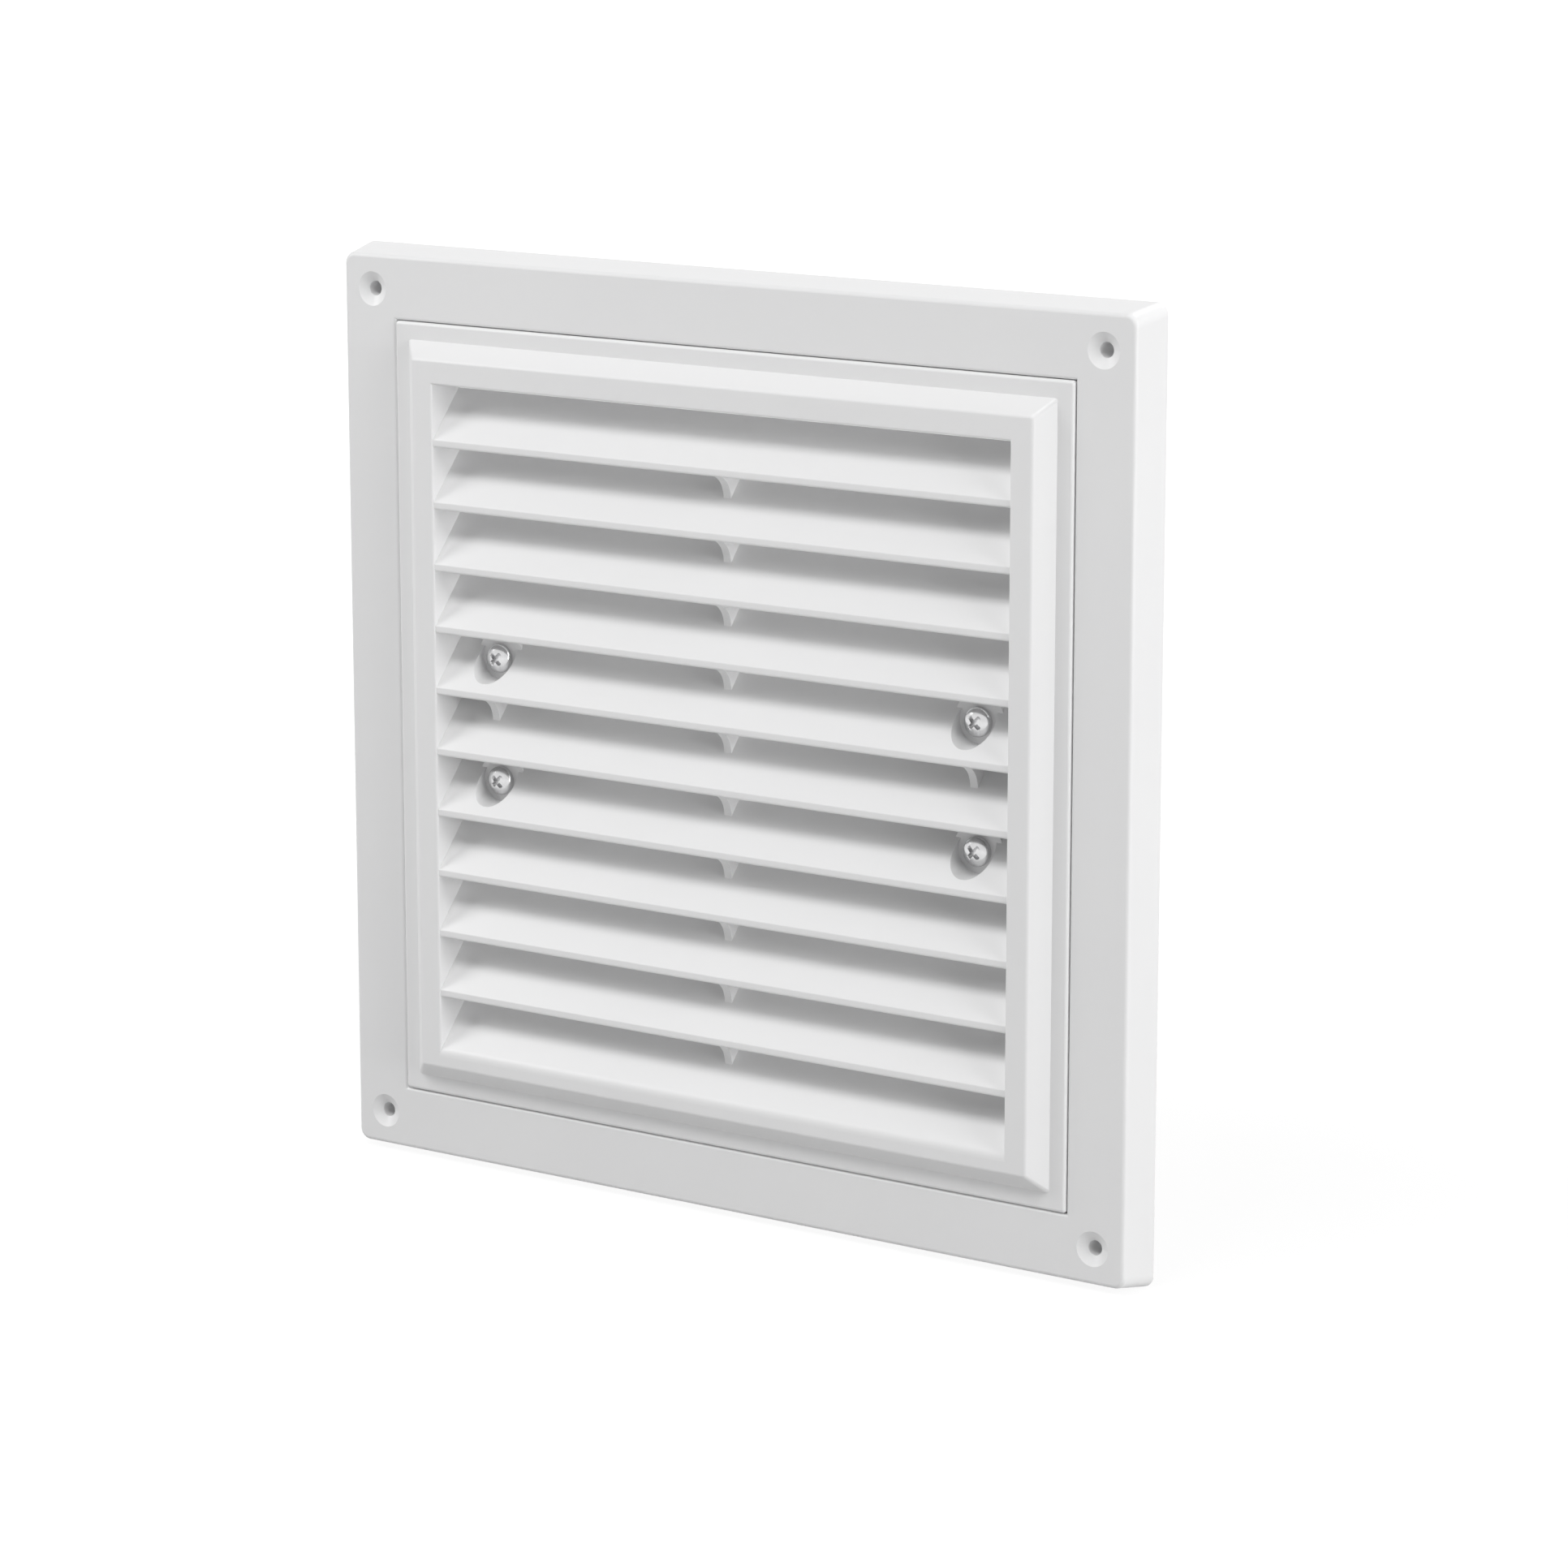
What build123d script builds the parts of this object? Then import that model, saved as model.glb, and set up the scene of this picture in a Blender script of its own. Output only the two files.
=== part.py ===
from build123d import *
import math
import os

# Square louvred ventilation grille: a wall frame, a clip-in louvre panel and two sliding duct jaws.
# Millimetres. +X right, +Y into the wall, +Z up. The origin is the middle of the wall face.

# Wall frame
frame_size = 200.0
frame_depth = 9.2
frame_wall = 2.2
frame_draft = 1.6
frame_corner_radius = 2.6
frame_edge_radius = 0.9
frame_border = 15.25
ledge_width = 3.35
ledge_thickness = 2.0
stiffener_thickness = 1.6
stiffener_height = 3.0
stiffener_spacing = 48.0

# Wall screw holes in the frame's corners
hole_inset = 9.0
hole_diameter = 3.2
countersink_diameter = 7.4
countersink_angle = 120.0
boss_diameter = 8.2

# Joint between the frame and the panel
seam_gap = 0.15
strip_rise = 0.4
seam_edge_radius = 0.7
skirt_clearance = 0.3

# Louvre panel
panel_wall = 2.0
panel_rise = 4.0
panel_strip_width = 3.7
panel_corner_radius = 0.6
bevel_width = 3.6
bevel_edge_radius = 1.0
face_width = 5.1
sill_width = 3.6
sill_radius = 3.0
opening_edge_radius = 0.5
skirt_length = 1.6

# Clips that hold the panel behind the frame's ledge
clip_length = 9.0
clip_reach = 0.6
clip_play = 0.2
clip_catch = 0.8
clip_ramp = 1.6
clip_tip_inset = 0.2
clip_spacing = 80.0

# Louvres, with the ribs that tie the blades together
slot_count = 11
blade_angle = 48.0
blade_thickness = 1.8
sight_gap = 1.6
nose_height = 1.6
nose_setback = 0.3
nose_radius = 0.5
rib_thickness = 1.8
rib_depth = 3.3

# Screws that hold the jaws, and the wells for them in the panel
screw_inset = 11.6
screw_diameter = 3.0
screw_hole_clearance = 0.4
head_diameter = 6.2
head_height = 2.3
head_rim_height = 0.9
recess_length = 3.4
recess_width = 0.9
recess_depth = 1.2
well_diameter = 9.6
well_wall = 1.2
well_floor = 1.6
well_stand_off = 0.3

# Square nuts
nut_width = 5.5
nut_thickness = 1.8
nut_bore_clearance = 0.1
nut_side_clearance = 0.3
nut_seat_clearance = 0.15
nut_chamfer = 0.3

# Duct jaws
jaw_travel = 12.5
jaw_slide_clearance = 0.2
jaw_floor_thickness = 1.1
jaw_plate_margin = 3.0
jaw_plate_corner_radius = 2.0
finger_offset = 2.0
finger_margin = 1.5
finger_thickness = 2.8
finger_length = 28.0
finger_lead_in = 1.0
finger_lead_length = 2.5
tooth_height = 0.7
tooth_length = 2.6
tooth_back = 0.4
tooth_pitch = 5.5
tooth_count = 3
gusset_thickness = 2.0
gusset_inset = 1.5
gusset_length = 14.0
gusset_height = 20.0

# Half sizes across the grille
frame_half = frame_size / 2
rim_inside = frame_half - frame_wall
rebate_half = frame_half - frame_border
ledge_half = rebate_half - ledge_width
seat_ring_half = rebate_half + frame_wall
hole_half = frame_half - hole_inset
panel_half = rebate_half - seam_gap
bevel_half = panel_half - panel_strip_width
face_half = bevel_half - bevel_width
opening_half = face_half - face_width
opening_low = sill_width - face_half
tube_half = opening_half + panel_wall
skirt_half = ledge_half - skirt_clearance
skirt_inside = skirt_half - panel_wall

# Louvre pattern: blade 1 is under the top slot, and blade 0 stands for the opening's upper edge
blade_slope = math.tan(math.radians(blade_angle))
sill_drop = nose_height - blade_slope * nose_setback
louvre_pitch = (opening_half - opening_low + sill_drop) / slot_count
slot_height = louvre_pitch - nose_height
blade_depth = nose_setback + (slot_height - sight_gap) / blade_slope
sill_round = sill_radius * math.tan(math.radians(90 - blade_angle) / 2)
blade_upright = blade_thickness / math.cos(math.radians(blade_angle))
middle_slot = (slot_count + 1) // 2
screw_slots = (middle_slot - 1, middle_slot + 1)
screw_x = opening_half - screw_inset
screw_hole_diameter = screw_diameter + screw_hole_clearance

# Depths along Y, from the wall face at zero
frame_front = -frame_depth
frame_skin_back = frame_front + frame_wall
ledge_front = frame_front + panel_wall
ledge_back = ledge_front + ledge_thickness
strip_front = frame_front - strip_rise
panel_front = frame_front - panel_rise
skirt_back = ledge_front + skirt_length
nose_front = panel_front + nose_setback
nose_back = nose_front + (blade_upright - nose_height) / blade_slope
blade_back = panel_front + blade_depth
rib_front = blade_back - rib_depth
well_back = blade_back + well_stand_off
screw_seat = well_back - well_floor
jaw_front = well_back + jaw_slide_clearance
channel_floor = jaw_front + jaw_floor_thickness
jaw_back = channel_floor + nut_thickness
nut_front = channel_floor + nut_seat_clearance
nut_back = nut_front + nut_thickness

side_plane = Plane(origin=(0, 0, 0), x_dir=(0, 1, 0), z_dir=(1, 0, 0))


def block(x0, x1, y0, y1, z0, z1):
    """A box between two corners."""
    centre = Pos((x0 + x1) / 2, (y0 + y1) / 2, (z0 + z1) / 2)
    return centre * Box(x1 - x0, y1 - y0, z1 - z0)


def square(half, y0, y1):
    """A square slab about the Y axis."""
    return block(-half, half, y0, y1, -half, half)


def round_bar(x, z, diameter, y0, y1):
    """A round bar along Y."""
    return Pos(x, (y0 + y1) / 2, z) * Rot(X=90) * Cylinder(diameter / 2, y1 - y0)


def pyramid(half_back, half_front, y_back, y_front):
    """A square block that tapers evenly from its back face to its front face."""
    base = Plane(origin=(0, y_back, 0), x_dir=(1, 0, 0), z_dir=(0, -1, 0))
    height = y_back - y_front
    taper = math.degrees(math.atan2(half_back - half_front, height))
    return extrude(base * Rectangle(2 * half_back, 2 * half_back), amount=height, taper=taper)


def side_prism(section, x0, x1):
    """A section drawn as (depth, height), carried straight from one x to another."""
    return Pos(x0, 0, 0) * extrude(side_plane * section, amount=x1 - x0)


def front_edges(shape, within):
    """The edges of a shape's foremost plane that lie inside a square about the Y axis."""
    foremost = shape.edges().group_by(Axis.Y)[0]
    return [edge for edge in foremost if max(abs(edge.center().X), abs(edge.center().Z)) < within]


def nose_low(index):
    """Height of the underside of a blade's nose."""
    return opening_half - louvre_pitch * index


def screw_level(slot):
    """Height of the screws in a slot; slot 1 is the top one, and the middle slot is level with the centre."""
    return louvre_pitch * (middle_slot - slot)


def blade_top(index, y):
    """Height of a blade's upper face at one depth."""
    return nose_low(index) + nose_height + blade_slope * (y - nose_front)


def blade_middle(index, y):
    """Height of the middle of a blade's thickness at one depth."""
    return blade_top(index, y) - blade_upright / 2


def make_wall_frame():
    """The wall frame: a hollow square moulding with a ledge inside for the panel."""
    shell = pyramid(frame_half, frame_half - frame_draft, 0, frame_front)
    slanting = [edge for edge in shell.edges() if frame_front < edge.center().Y < 0]
    shell = fillet(slanting, frame_corner_radius)
    shell = fillet(front_edges(shell, frame_size), frame_edge_radius)
    skin_inside = rim_inside - frame_draft * frame_skin_back / frame_front
    body = shell - pyramid(rim_inside, skin_inside, 0, frame_skin_back)
    body += square(seat_ring_half, frame_front, ledge_back)
    holes = [(x, z) for x in (-hole_half, hole_half) for z in (-hole_half, hole_half)]
    for x, z in holes:
        body += round_bar(x, z, boss_diameter, frame_skin_back, 0)
    stiffener_back = frame_skin_back + stiffener_height
    for place in (-stiffener_spacing, 0, stiffener_spacing):
        low = place - stiffener_thickness / 2
        high = place + stiffener_thickness / 2
        stiffener = block(seat_ring_half, rim_inside, frame_skin_back, stiffener_back, low, high)
        for turn in range(4):
            body += Rot(Y=90 * turn) * stiffener
    body -= square(ledge_half, frame_front, 0)
    body -= square(rebate_half, frame_front, ledge_front)
    body = fillet(front_edges(body, rebate_half + seam_gap), seam_edge_radius)
    sink_depth = (countersink_diameter - hole_diameter) / 2 / math.tan(math.radians(countersink_angle / 2))
    sink = Cone(hole_diameter / 2, countersink_diameter / 2, sink_depth)
    for x, z in holes:
        body -= round_bar(x, z, hole_diameter, frame_front, 0)
        body -= Pos(x, frame_front + sink_depth / 2, z) * Rot(X=90) * sink
    return body


def make_panel_ring():
    """The panel's outer part: a strip on the ledge, the bevel, the raised face and the tube behind the face."""
    strip = fillet(square(panel_half, strip_front, ledge_front).edges().filter_by(Axis.Y), panel_corner_radius)
    strip = fillet(front_edges(strip, frame_size), seam_edge_radius)
    raised = pyramid(bevel_half, face_half, strip_front, panel_front)
    rounded = [edge for edge in raised.edges() if edge.center().Y < strip_front - bevel_edge_radius / 2]
    raised = fillet(rounded, bevel_edge_radius)
    ring = strip + raised + square(skirt_half, ledge_front, skirt_back)

    # The hollow behind the bevel keeps an even wall.
    bevel_run = bevel_width / (strip_front - panel_front)
    bevel_inset = panel_wall * math.hypot(1, bevel_run)
    roof = panel_front + panel_wall
    roof_half = bevel_half - bevel_inset - bevel_run * (strip_front - roof)
    hollow = pyramid(roof_half + bevel_run * (skirt_back - roof), roof_half, skirt_back, roof)
    ring -= hollow & square(skirt_inside, roof, skirt_back)
    tube_low = opening_low - panel_wall
    ring += block(-tube_half, tube_half, roof, well_back, tube_low, tube_half)
    ring -= block(-opening_half, opening_half, panel_front, well_back, opening_low - sill_round, opening_half)
    rim = [edge for edge in front_edges(ring, face_half - sill_width / 4) if edge.center().Z > opening_low / 2]
    return fillet(rim, opening_edge_radius)


def make_blade(index):
    """One blade from wall to wall: a rounded nose with a flat underside in front, then an even slope."""
    low = nose_low(index)
    outline = Polyline(
        (nose_front, low),
        (nose_front, low + nose_height),
        (blade_back, blade_top(index, blade_back)),
        (blade_back, blade_top(index, blade_back) - blade_upright),
        (nose_back, low),
        close=True,
    )
    section = make_face(outline)
    section = fillet(section.vertices().group_by(Axis.X)[0], nose_radius)
    half_span = opening_half + panel_wall / 2
    return side_prism(section, -half_span, half_span)


def make_sill():
    """The last blade, which has no nose: its slope runs out over the opening's lower edge in a soft round."""
    low = opening_low - panel_wall
    outline = Polyline(
        (panel_front, low),
        (panel_front, opening_low),
        (blade_back, blade_top(slot_count, blade_back)),
        (blade_back, blade_top(slot_count, blade_back) - blade_upright),
        (panel_front + (blade_upright - panel_wall) / blade_slope, low),
        close=True,
    )
    section = make_face(outline)
    crest = section.vertices().group_by(Axis.X)[0].sort_by(Axis.Y)[-1]
    half_span = opening_half + panel_wall / 2
    return side_prism(fillet(crest, sill_radius), -half_span, half_span)


def make_rib(x, slot):
    """A thin upright rib across one slot; its front edge sweeps forward to the nose of the blade above."""
    foot = (rib_front, blade_top(slot, rib_front))
    tip = (nose_back, nose_low(slot - 1))
    inside = Polyline(
        tip,
        (nose_back, nose_low(slot - 1) + nose_height / 2),
        (blade_back, blade_middle(slot - 1, blade_back)),
        (blade_back, blade_middle(slot, blade_back)),
        (rib_front, blade_middle(slot, rib_front)),
        foot,
    )
    section = make_face([TangentArc(foot, tip, tangent=(0, 1)), *inside.edges()])
    return side_prism(section, x - rib_thickness / 2, x + rib_thickness / 2)


def make_well(x, slot):
    """A cup behind one blade for a screw: its wall stops at the blade's upper face, its floor is a full disc."""
    z = screw_level(slot)
    outside = well_diameter + 2 * well_wall
    air = Polyline(
        (panel_front, blade_top(slot, panel_front)),
        (well_back, blade_top(slot, well_back)),
        (well_back, z + outside),
        (panel_front, z + outside),
        close=True,
    )
    cup = round_bar(x, z, outside, nose_front, well_back) - side_prism(make_face(air), x - outside, x + outside)
    return cup + round_bar(x, z, outside, screw_seat, well_back)


def make_clip():
    """One clip on the right-hand skirt: a tongue with a barb that catches behind the frame's ledge."""
    catch = ledge_back + clip_play
    barb = ledge_half + clip_reach
    tip = catch + clip_catch + clip_ramp
    outline = Polyline(
        (skirt_inside, ledge_front),
        (skirt_inside, tip),
        (skirt_half - clip_tip_inset, tip),
        (barb, catch + clip_catch),
        (barb, catch),
        (skirt_half, catch),
        (skirt_half, ledge_front),
        close=True,
    )
    return Pos(0, 0, -clip_length / 2) * extrude(make_face(outline), amount=clip_length)


def make_louvre_panel():
    """The louvre panel, one moulding: the ring, its blades and ribs, the screw wells and the clips."""
    panel = make_panel_ring()
    panel += [make_blade(index) for index in range(1, slot_count)]
    panel += make_sill()
    panel += [make_rib(0, slot) for slot in range(2, slot_count + 1)]
    panel += [make_rib(x, middle_slot) for x in (-screw_x, screw_x)]
    for x in (-screw_x, screw_x):
        for slot in screw_slots:
            panel += make_well(x, slot)
            panel -= round_bar(x, screw_level(slot), well_diameter, panel_front, screw_seat)
            panel -= round_bar(x, screw_level(slot), screw_hole_diameter, screw_seat, well_back)
    clip = make_clip()
    for turn in range(4):
        panel += [Rot(Y=90 * turn) * Pos(0, 0, place) * clip for place in (-clip_spacing / 2, clip_spacing / 2)]
    return panel


def make_jaw():
    """The right-hand jaw in mid travel: a slotted plate with a toothed finger that stands into the duct."""
    slot_from = screw_x - jaw_travel
    slot_to = screw_x + jaw_travel
    channel_half = (nut_width + nut_side_clearance) / 2
    end_room = channel_half + jaw_plate_margin
    plate_half = louvre_pitch + end_room
    plate = block(slot_from - end_room, slot_to + end_room, jaw_front, jaw_back, -plate_half, plate_half)
    plate = fillet(plate.edges().filter_by(Axis.Y), jaw_plate_corner_radius)

    # The finger is a slice of a tube that fits the duct, with a tapered tip and rows of teeth outside.
    finger_outside = screw_x + finger_offset
    tooth_root = finger_outside - tooth_height
    finger_inside = tooth_root - finger_thickness
    finger_half = louvre_pitch - channel_half - finger_margin
    outline = [
        (finger_inside, jaw_front),
        (finger_inside, finger_length),
        (tooth_root - finger_lead_in, finger_length),
        (tooth_root, finger_length - finger_lead_length),
    ]
    for index in range(tooth_count):
        back = finger_length - finger_lead_length - tooth_pitch * index
        outline += [
            (tooth_root, back - tooth_back),
            (finger_outside, back - tooth_length),
            (tooth_root, back - tooth_length - tooth_back),
        ]
    outline.append((tooth_root, jaw_front))
    tube = revolve(make_face(Polyline(*outline, close=True)), Axis.Y)
    jaw = plate + (tube & block(0, 2 * finger_outside, jaw_front, finger_length, -finger_half, finger_half))

    gusset_place = finger_half - gusset_inset - gusset_thickness / 2
    gusset_root = math.sqrt(tooth_root**2 - gusset_place**2) - finger_thickness / 2
    gusset_outline = Polyline(
        (gusset_root, channel_floor),
        (gusset_root, jaw_back + gusset_height),
        (gusset_root - finger_thickness, jaw_back + gusset_height),
        (gusset_root - gusset_length, jaw_back),
        (gusset_root - gusset_length, channel_floor),
        close=True,
    )
    gusset = extrude(make_face(gusset_outline), amount=gusset_thickness)
    jaw += [Pos(0, 0, place - gusset_thickness / 2) * gusset for place in (-gusset_place, gusset_place)]

    slot_half = screw_hole_diameter / 2
    for level in (-louvre_pitch, louvre_pitch):
        low = level - channel_half
        high = level + channel_half
        jaw -= block(slot_from - channel_half, slot_to + channel_half, channel_floor, jaw_back, low, high)
        jaw -= block(slot_from, slot_to, jaw_front, channel_floor, level - slot_half, level + slot_half)
        for x in (slot_from, slot_to):
            jaw -= round_bar(x, level, screw_hole_diameter, jaw_front, channel_floor)
    return jaw


def make_screw():
    """One pan-head screw on the Y axis: a domed head with a cross recess, and a plain shank."""
    head_half = head_diameter / 2
    shank_half = screw_diameter / 2
    head_top = screw_seat - head_height
    rim = screw_seat - head_rim_height
    dome_height = head_height - head_rim_height
    dome_radius = (dome_height**2 + head_half**2) / (2 * dome_height)
    half_angle = math.asin(head_half / dome_radius) / 2
    dome_middle = (dome_radius * math.sin(half_angle), head_top + dome_radius * (1 - math.cos(half_angle)))
    stem = Polyline(
        (0, head_top),
        (0, nut_back),
        (shank_half, nut_back),
        (shank_half, screw_seat),
        (head_half, screw_seat),
        (head_half, rim),
    )
    dome = ThreePointArc((head_half, rim), dome_middle, (0, head_top))
    screw = revolve(make_face([dome, *stem.edges()]), Axis.Y)
    arm_half = recess_length / 2
    cut_half = recess_width / 2
    arm = block(-arm_half, arm_half, head_top, head_top + recess_depth, -cut_half, cut_half)
    return screw - [Rot(Y=turn) * arm for turn in (45, 135)]


def make_nut():
    """One thin square nut on the Y axis."""
    half = nut_width / 2
    nut = block(-half, half, nut_front, nut_back, -half, half)
    nut = chamfer(nut.edges().filter_by(Axis.Y), nut_chamfer)
    return nut - round_bar(0, 0, screw_diameter + nut_bore_clearance, nut_front, nut_back)


def at_screws(piece):
    """Copies of one fastener at every screw's place."""
    places = [(x, screw_level(slot)) for x in (-screw_x, screw_x) for slot in screw_slots]
    return Compound(children=[Pos(x, 0, z) * piece for x, z in places])


jaw = make_jaw()
parts = {
    "wall_frame": make_wall_frame(),
    "louvre_panel": make_louvre_panel(),
    "jaw_right": jaw,
    "jaw_left": Rot(Y=180) * jaw,
    "jaw_screws": at_screws(make_screw()),
    "jaw_nuts": at_screws(make_nut()),
}

os.makedirs("parts", exist_ok=True)
for name, shape in parts.items():
    export_step(shape, f"parts/{name}.step")
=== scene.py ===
import math

import bpy
import numpy as np
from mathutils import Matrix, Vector


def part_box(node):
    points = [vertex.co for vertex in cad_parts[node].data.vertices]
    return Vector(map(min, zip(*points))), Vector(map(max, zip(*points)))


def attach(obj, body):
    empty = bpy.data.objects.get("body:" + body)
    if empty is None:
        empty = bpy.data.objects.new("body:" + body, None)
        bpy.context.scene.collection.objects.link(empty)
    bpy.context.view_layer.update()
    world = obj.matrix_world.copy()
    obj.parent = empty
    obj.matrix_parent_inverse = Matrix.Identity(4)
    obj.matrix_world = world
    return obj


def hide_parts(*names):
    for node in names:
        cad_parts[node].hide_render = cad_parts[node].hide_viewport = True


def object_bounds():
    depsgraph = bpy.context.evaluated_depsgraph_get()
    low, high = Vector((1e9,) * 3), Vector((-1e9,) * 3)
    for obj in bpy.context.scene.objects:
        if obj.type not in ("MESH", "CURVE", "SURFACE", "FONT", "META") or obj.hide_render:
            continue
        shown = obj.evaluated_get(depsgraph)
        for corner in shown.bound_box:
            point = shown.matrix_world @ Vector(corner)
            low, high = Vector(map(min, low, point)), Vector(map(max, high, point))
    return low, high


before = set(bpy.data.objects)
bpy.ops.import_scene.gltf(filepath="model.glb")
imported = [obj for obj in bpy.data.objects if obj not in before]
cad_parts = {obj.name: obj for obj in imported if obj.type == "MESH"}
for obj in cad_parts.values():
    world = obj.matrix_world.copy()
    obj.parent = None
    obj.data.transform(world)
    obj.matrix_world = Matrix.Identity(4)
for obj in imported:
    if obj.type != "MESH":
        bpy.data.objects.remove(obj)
cad_low, cad_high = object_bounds()

# The wall frame: a square hollow moulding of white plastic with a rounded rim, screwed flat to the wall.
# Its skin comes off a polished mould, so it is satin, with a very fine grain and faint broad flow marks.
# Lengths here and below are metres, and colours are linear.

flow_size = 0.045
flow_haze = 0.12
grain_size = 0.00045
grain_haze = 0.06
grain_strength = 0.35
plastic_ior = 1.49
broad_detail = 3.0
fine_detail = 2.0
noise_middle = 0.5


class Field:
    """A value in a material's nodes: arithmetic on it adds Math nodes, and node() adds any other node."""

    def __init__(self, tree, socket=None):
        self.tree = tree
        self.socket = socket

    def node(self, kind, settings=None, inputs=None, output=0):
        """Adds a node, applies its settings, then links or sets its sockets, found by identifier or name."""
        made = self.tree.nodes.new(kind)
        for name, value in (settings or {}).items():
            setattr(made, name, value)
        for name, value in (inputs or {}).items():
            by_identifier = [socket for socket in made.inputs if socket.identifier == name]
            by_name = [socket for socket in made.inputs if socket.name == name]
            match = (by_identifier or by_name)[0]
            if isinstance(value, Field):
                self.tree.links.new(value.socket, match)
            else:
                match.default_value = value
        return Field(self.tree, made.outputs[output])

    def maths(self, operation, first, second):
        """A Math node on two values, either of which may be a number."""
        return self.node("ShaderNodeMath", {"operation": operation}, {"Value": first, "Value_001": second})

    def __add__(self, other):
        return self.maths("ADD", self, other)

    def __radd__(self, other):
        return self.maths("ADD", other, self)

    def __sub__(self, other):
        return self.maths("SUBTRACT", self, other)

    def __rsub__(self, other):
        return self.maths("SUBTRACT", other, self)

    def __mul__(self, other):
        return self.maths("MULTIPLY", self, other)

    def __rmul__(self, other):
        return self.maths("MULTIPLY", other, self)


def new_finish(name):
    """An empty material: gives it, its field to build on and its output node."""
    finish = bpy.data.materials.new(name)
    finish.use_nodes = True
    finish.node_tree.nodes.clear()
    out = finish.node_tree.nodes.new("ShaderNodeOutputMaterial")
    return finish, Field(finish.node_tree), out


def noise(field, point, size, detail):
    """Cloudy values between 0 and 1 whose blobs are about one size across."""
    return field.node("ShaderNodeTexNoise", {}, {"Vector": point, "Scale": 1 / size, "Detail": detail})


def blend_colours(field, share, tint, shade):
    """A colour that goes from tint to shade as the share goes from 0 to 1."""
    return field.node(
        "ShaderNodeMix",
        {"data_type": "RGBA"},
        {"Factor_Float": share, "A_Color": (*tint, 1), "B_Color": (*shade, 1)},
        output="Result",
    )


def moulded_plastic(name, tint, shade, gloss, grain_depth):
    """White moulded plastic: the colour drifts from tint to shade with broad flow marks, the roughness
    follows the same marks and a fine grain, and the grain also stands out as bump."""
    finish, field, out = new_finish(name)
    point = field.node("ShaderNodeTexCoord", output="Object")
    flow = noise(field, point, flow_size, broad_detail)
    grain = noise(field, point, grain_size, fine_detail)
    bump = field.node(
        "ShaderNodeBump",
        {},
        {"Strength": grain_strength, "Distance": grain_depth, "Height": grain},
    )
    surface = field.node(
        "ShaderNodeBsdfPrincipled",
        {},
        {
            "Base Color": blend_colours(field, flow, tint, shade),
            "Roughness": gloss + flow_haze * (flow - noise_middle) + grain_haze * (grain - noise_middle),
            "IOR": plastic_ior,
            "Normal": bump,
        },
    )
    finish.node_tree.links.new(surface.socket, out.inputs["Surface"])
    return finish


def dress(node, finish):
    """Gives a CAD node its finish in every material slot."""
    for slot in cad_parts[node].material_slots:
        slot.material = finish


frame_white = moulded_plastic(
    "frame_white",
    tint=(0.87, 0.87, 0.87),
    shade=(0.84, 0.84, 0.845),
    gloss=0.42,
    grain_depth=0.00002,
)
dress("wall_frame", frame_white)

# The louvre panel: one white moulding with a bevelled rim, sloping blades and thin ribs, clipped into the
# frame. It is the same plastic from another mould, polished more for release, so it is a touch glossier.

panel_white = moulded_plastic(
    "panel_white",
    tint=(0.87, 0.87, 0.87),
    shade=(0.845, 0.845, 0.85),
    gloss=0.38,
    grain_depth=0.000016,
)
dress("louvre_panel", panel_white)

# The duct jaws: two like mouldings of duller white plastic that slide on the back of the panel.
# They are never seen in use, so their mould was left rough and the grain is coarser.

jaw_white = moulded_plastic(
    "jaw_white",
    tint=(0.80, 0.80, 0.79),
    shade=(0.76, 0.76, 0.75),
    gloss=0.56,
    grain_depth=0.00004,
)
dress("jaw_right", jaw_white)
dress("jaw_left", jaw_white)

# The jaw screws: bright plated steel pan heads in the panel's wells, each with a cross recess.
# Their shanks pass through the jaws' slots into the nuts, with a rolled thread.

head_radius = 0.0031
head_height = 0.0023
head_rim = 0.0009
head_edge = 0.00015
head_cells = 64
shank_length = 0.00485
shank_sink = 0.0002
shank_columns = 48
thread_radius = 0.0015
thread_depth = 0.00028
thread_pitch = 0.0005
rows_per_pitch = 10
recess_half_width = 0.00045
recess_half_length = 0.0017
recess_depth = 0.0012
recess_wall_run = 0.00013
recess_end_run = 0.0008
recess_turn = math.radians(45)
crease_angle = math.radians(35)
cloud_size = 0.0012
hair_size = 0.00022
hair_squeeze = (1.0, 6.0, 2.5)
hair_strength = 0.2
hair_depth = 0.000012
hair_haze = 0.05


def grid_quads(rows, columns, wrap=False):
    """Corner numbers of the quads of a grid, row by row; wrap joins the last column to the first."""
    row = np.arange(rows - 1)[:, None] * columns
    below = row + columns
    column = np.arange(columns if wrap else columns - 1)[None, :]
    after = (column + 1) % columns
    return np.stack([row + column, row + after, below + after, below + column], axis=-1).reshape(-1, 4)


def fan(loop, pole, outward):
    """Triangles from a loop of point numbers to one pole."""
    after = np.roll(loop, -1)
    middle = np.full_like(loop, pole)
    return np.stack([loop, after, middle] if outward else [after, loop, middle], axis=-1)


def recess_arm(along, across):
    """Depth of one arm of the cross: it grows from each side wall and, more gently, from each end."""
    walls = np.clip((recess_half_width - np.abs(across)) / recess_wall_run, 0, 1)
    ends = np.clip((recess_half_length - np.abs(along)) / recess_end_run, 0, 1)
    return recess_depth * walls * ends


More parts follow.
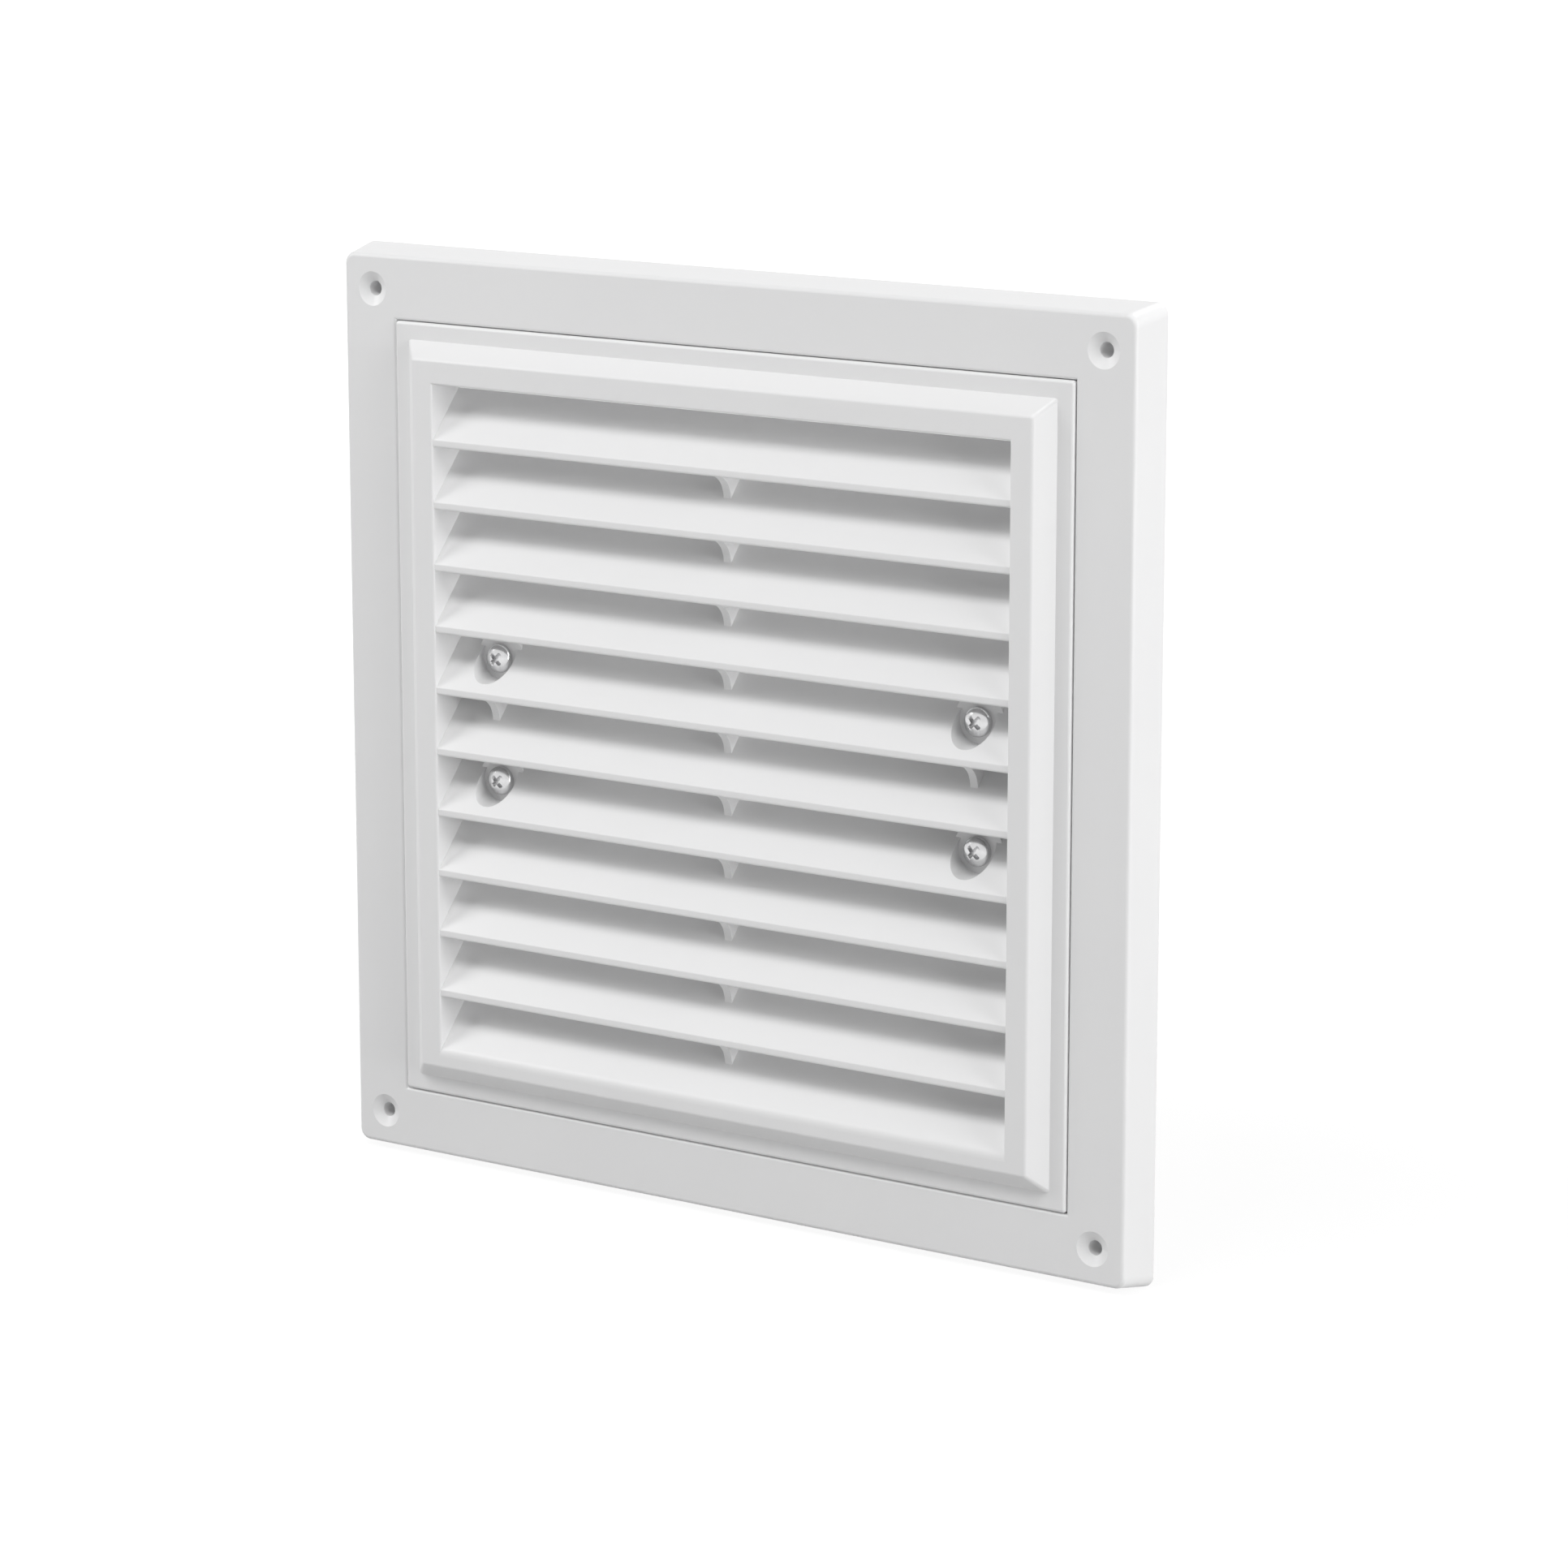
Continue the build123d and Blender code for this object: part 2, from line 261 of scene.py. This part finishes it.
def screw_head():
    """A pan head on the Y axis, seat at zero and top towards -Y. A square grid is drawn onto a disc by
    x = u sqrt(1 - v v / 2), z = v sqrt(1 - u u / 2); the height over it is the rim plus half an ellipse,
    less the deeper of the cross's two arms. Rings below close the rim, and a pole closes the seat."""
    span = np.linspace(-1, 1, head_cells + 1)
    u, v = np.meshgrid(span, span, indexing="ij")
    along = head_radius * u * np.sqrt(1 - v * v / 2)
    across = head_radius * v * np.sqrt(1 - u * u / 2)
    reach = np.clip((along**2 + across**2) / head_radius**2, 0, 1)
    height = head_rim + (head_height - head_rim) * np.sqrt(1 - reach)
    height = height - np.maximum(recess_arm(along, across), recess_arm(across, along))
    x = along * math.cos(recess_turn) - across * math.sin(recess_turn)
    z = along * math.sin(recess_turn) + across * math.cos(recess_turn)
    top = np.stack([x, -height, z], axis=-1).reshape(-1, 3)

    number = np.arange(len(top)).reshape(u.shape)
    loop = np.concatenate([number[0, :-1], number[:-1, -1], number[-1, :0:-1], number[:0:-1, 0]])
    rings = []
    for share, level in ((1.0, head_rim / 2), (1.0, head_edge), (1 - head_edge / head_radius, 0.0)):
        ring = top[loop] * (share, 0, share)
        ring[:, 1] = -level
        rings.append(ring)
    loops = [loop] + [len(top) + len(loop) * i + np.arange(len(loop)) for i in range(len(rings))]
    pole = len(top) + len(loop) * len(rings)
    points = np.concatenate([top, *rings, np.zeros((1, 3))])
    sides = []
    for upper, lower in zip(loops, loops[1:]):
        sides.append(np.stack([upper, np.roll(upper, -1), np.roll(lower, -1), lower], axis=-1))
    quads = np.concatenate([grid_quads(*u.shape), *sides])
    return points, quads, fan(loops[-1], pole, True)


def screw_shank():
    """A threaded rod on the Y axis. Its radius is the crest less a triangle wave of y / pitch - turn, so the
    crest runs round as a helix; at the tip the rod narrows to the root, and a pole closes each end."""
    rows = int(rows_per_pitch * (shank_length + shank_sink) / thread_pitch)
    y = np.linspace(-shank_sink, shank_length, rows)[:, None]
    turn = np.linspace(0, 2 * math.pi, shank_columns, endpoint=False)[None, :]
    wave = np.abs(2 * ((y / thread_pitch - turn / (2 * math.pi)) % 1) - 1)
    tip = np.clip((y - shank_length + thread_pitch) / thread_pitch, 0, 1)
    radius = thread_radius - thread_depth * np.maximum(wave, tip)
    rod = np.stack([radius * np.cos(turn), y + 0 * turn, radius * np.sin(turn)], axis=-1).reshape(-1, 3)
    ends = np.array([[0, -shank_sink, 0], [0, shank_length, 0]])
    first = np.arange(shank_columns)
    last = first + (rows - 1) * shank_columns
    caps = [fan(first, len(rod), True), fan(last, len(rod) + 1, False)]
    quads = grid_quads(rows, shank_columns, wrap=True)[:, ::-1]
    return np.concatenate([rod, ends]), quads, np.concatenate(caps)


def add_piece(name, shells):
    """One mesh object from shells of points, quads and triangles, smooth apart from its sharper edges."""
    points = []
    faces = []
    start = 0
    for shell_points, quads, triangles in shells:
        points.append(shell_points)
        faces += (quads + start).tolist() + (triangles + start).tolist()
        start += len(shell_points)
    mesh = bpy.data.meshes.new(name)
    mesh.from_pydata(np.concatenate(points), [], faces)
    mesh.polygons.foreach_set("use_smooth", np.ones(len(mesh.polygons), dtype=bool))
    mesh.set_sharp_from_angle(angle=crease_angle)
    piece = bpy.data.objects.new(name, mesh)
    bpy.context.scene.collection.objects.link(piece)
    return piece


def plated_steel(name, tint, shade, gloss, haze):
    """Plated steel: metal whose colour and roughness drift between two values in small clouds, with hairline
    bump from tumbling: noise squeezed across the hairs."""
    finish, field, out = new_finish(name)
    point = field.node("ShaderNodeTexCoord", output="Object")
    cloud = noise(field, point, cloud_size, broad_detail)
    squeezed = field.node("ShaderNodeMapping", {}, {"Vector": point, "Scale": hair_squeeze})
    hairs = noise(field, squeezed, hair_size, fine_detail)
    bump = field.node(
        "ShaderNodeBump",
        {},
        {"Strength": hair_strength, "Distance": hair_depth, "Height": hairs},
    )
    surface = field.node(
        "ShaderNodeBsdfPrincipled",
        {},
        {
            "Base Color": blend_colours(field, cloud, tint, shade),
            "Metallic": 1.0,
            "Roughness": gloss + haze * cloud + hair_haze * hairs,
            "Normal": bump,
        },
    )
    finish.node_tree.links.new(surface.socket, out.inputs["Surface"])
    return finish


screw_low, screw_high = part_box("jaw_screws")
seat_y = screw_high.y - shank_length
screw_shells = []
for place_x in (screw_low.x + head_radius, screw_high.x - head_radius):
    for place_z in (screw_low.z + head_radius, screw_high.z - head_radius):
        for shell_points, quads, triangles in (screw_head(), screw_shank()):
            screw_shells.append((shell_points + (place_x, seat_y, place_z), quads, triangles))
screws = add_piece("pan_head_screws", screw_shells)
bright_plate = plated_steel(
    "bright_plate",
    tint=(0.74, 0.74, 0.75),
    shade=(0.62, 0.62, 0.62),
    gloss=0.14,
    haze=0.12,
)
screws.data.materials.append(bright_plate)
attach(screws, "grille")
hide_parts("jaw_screws")

# The square nuts: thin stamped steel with a dull, slightly yellow plating, one on the end of each screw.
# The jaws' channels hold them against turning.

dull_plate = plated_steel(
    "dull_plate",
    tint=(0.62, 0.61, 0.57),
    shade=(0.50, 0.50, 0.48),
    gloss=0.30,
    haze=0.16,
)
dress("jaw_nuts", dull_plate)

# The floor: a wide pale sheet that the grille stands on, with no edge in view.
# The camera and mirror-like surfaces see most of it as plain white. Near the grille a share of the paper
# shows through and keeps its shadow; further out the sheet is all white.

floor_half = 6.0
floor_grey = 0.55
floor_glow = 1.15
paper_share = 0.2
paper_from = 0.16
paper_to = 0.5


def seen_directly(field):
    """1 for camera, glossy and transmission rays, else 0."""
    rays = "ShaderNodeLightPath"
    camera = field.node(rays, output="Is Camera Ray")
    glossy = field.node(rays, output="Is Glossy Ray")
    through = field.node(rays, output="Is Transmission Ray")
    return camera + glossy + through


sides = ((-1, -1), (1, -1), (1, 1), (-1, 1))
corners = [(x * floor_half, y * floor_half, cad_low.z) for x, y in sides]
floor_mesh = bpy.data.meshes.new("floor")
floor_mesh.from_pydata(corners, [], [(0, 1, 2, 3)])
floor = bpy.data.objects.new("floor", floor_mesh)
bpy.context.scene.collection.objects.link(floor)
floor_finish, field, out = new_finish("floor_white")
paper = field.node("ShaderNodeBsdfDiffuse", {}, {"Color": (floor_grey, floor_grey, floor_grey, 1)})
glow = field.node("ShaderNodeEmission", {}, {"Color": (1, 1, 1, 1), "Strength": floor_glow})
spot = field.node("ShaderNodeTexCoord", output="Object")
away = field.node("ShaderNodeVectorMath", {"operation": "LENGTH"}, {"Vector": spot}, output="Value")
white_share = field.node(
    "ShaderNodeMapRange",
    {"interpolation_type": "SMOOTHSTEP"},
    {
        "Value": away,
        "From Min": paper_from,
        "From Max": paper_to,
        "To Min": 1 - paper_share,
        "To Max": 1.0,
    },
)
blend = field.node(
    "ShaderNodeMixShader",
    {},
    {"Fac": white_share * seen_directly(field), "Shader": paper, "Shader_001": glow},
)
floor_finish.node_tree.links.new(blend.socket, out.inputs["Surface"])
floor_mesh.materials.append(floor_finish)

# Studio light: soft boxes above and in front, at the right, at the left and behind, one low at the right that
# reaches the slots' left walls, and a weak light from the room, which the camera sees as plain white.
# Each box has its turn and rise from the grille in degrees, its width and height, and its power in watts.

target = Vector((0, cad_low.y, 0))
box_distance = 1.5
soft_boxes = {
    "upper_box": (-3, 57, 0.75, 0.4, 8.5),
    "right_box": (91, 27, 0.8, 0.6, 7.7),
    "low_box": (78, 4, 0.5, 0.35, 6.8),
    "left_box": (-60, 29, 0.6, 0.5, 7.6),
    "back_box": (180, 44, 0.6, 0.4, 5.0),
}
room_level = 0.15

for name, (turn, rise, width, height, power) in soft_boxes.items():
    lamp = bpy.data.lights.new(name, "AREA")
    lamp.shape = "RECTANGLE"
    lamp.size = width
    lamp.size_y = height
    lamp.energy = power
    box = bpy.data.objects.new(name, lamp)
    around = math.radians(turn)
    upwards = math.radians(rise)
    level = math.cos(upwards)
    ray = Vector((math.sin(around) * level, -math.cos(around) * level, math.sin(upwards)))
    box.location = target + box_distance * ray
    box.rotation_euler = (target - box.location).to_track_quat("-Z", "Y").to_euler()
    bpy.context.scene.collection.objects.link(box)

world = bpy.data.worlds.new("room")
bpy.context.scene.world = world
world.use_nodes = True
world.node_tree.nodes.clear()
field = Field(world.node_tree)
room_light = room_level + (1 - room_level) * seen_directly(field)
room = field.node("ShaderNodeBackground", {}, {"Color": (1, 1, 1, 1), "Strength": room_light})
room_out = world.node_tree.nodes.new("ShaderNodeOutputWorld")
world.node_tree.links.new(room.socket, room_out.inputs["Surface"])

# The camera: a long lens that stands to the right of the grille and a little above it, as the photo's did.
# The lens and the sensor are in millimetres, and everything is in focus.

view_turn = math.radians(34.47)
view_drop = math.radians(12.15)
eye_place = (0.6073, -0.8710, 0.2208)
lens_length = 119.14
sensor_width = 36.0

camera = bpy.data.cameras.new("camera")
camera.sensor_fit = "HORIZONTAL"
camera.sensor_width = sensor_width
camera.lens = lens_length
eye = bpy.data.objects.new("camera", camera)
eye.location = eye_place
eye.rotation_euler = (math.pi / 2 - view_drop, 0, view_turn)
bpy.context.scene.collection.objects.link(eye)
bpy.context.scene.camera = eye
bpy.context.scene.view_settings.view_transform = "Standard"
